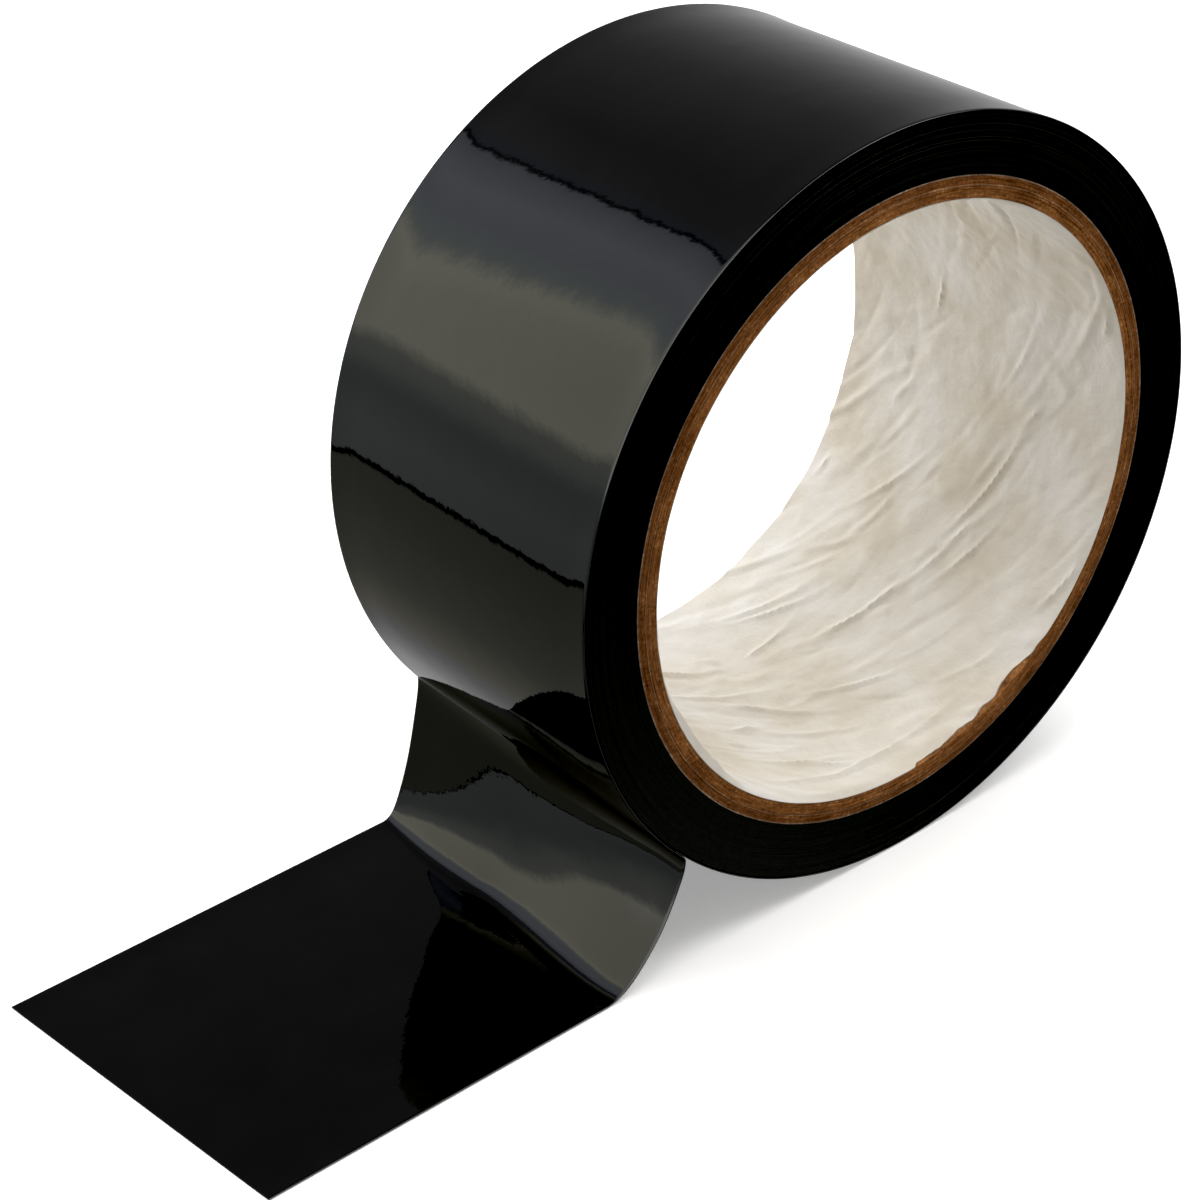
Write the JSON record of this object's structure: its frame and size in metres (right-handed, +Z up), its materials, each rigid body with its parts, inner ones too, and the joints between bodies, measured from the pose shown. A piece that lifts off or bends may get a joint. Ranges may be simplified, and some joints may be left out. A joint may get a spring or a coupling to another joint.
{
  "type": "roll of glossy black adhesive tape",
  "caption": "Glossy black adhesive tape wound on a kraft paper tube, with a short free tail peeled off and laid flat.",
  "frame": {"origin": "middle of the core's bore, on the roll's axis and half way along its width", "axes": "+Y along the roll's axis, +Z up, and the free tail runs towards -X on the ground that the roll stands on"},
  "size_m": [0.1507, 0.049, 0.0976],
  "materials": {
    "liner_paper": "matte creased white paper",
    "kraft_board": "matte brown kraft board",
    "wound_tape": "matte black slit edge with fine turn lines",
    "tape_film": "glossy black film",
    "tape_adhesive": "tacky dark grey adhesive"
  },
  "bodies": {
    "roll": {"core_liner": "liner_paper", "core_ply_1": "kraft_board", "core_ply_2": "kraft_board", "core_ply_3": "kraft_board", "core_ply_4": "kraft_board", "core_ply_5": "kraft_board", "wound_turns": "wound_tape", "outer_turn_adhesive": "tape_adhesive", "outer_turn_film": "tape_film"},
    "riser": {"riser_adhesive": "tape_adhesive", "riser_film": "tape_film"},
    "tail": {"tail_adhesive": "tape_adhesive", "tail_film": "tape_film"}
  },
  "joints": [
    {"name": "peel_lift", "type": "hinge", "parent": "roll", "child": "riser", "pos_m": [-0.03771, 0, -0.03097], "axis": [0, 1, 0], "range_deg": [0, 60]},
    {"name": "crease_lift", "type": "hinge", "parent": "riser", "child": "tail", "pos_m": [-0.0484, 0, -0.0486], "axis": [0, 1, 0], "range_deg": [0, 40]}
  ]
}
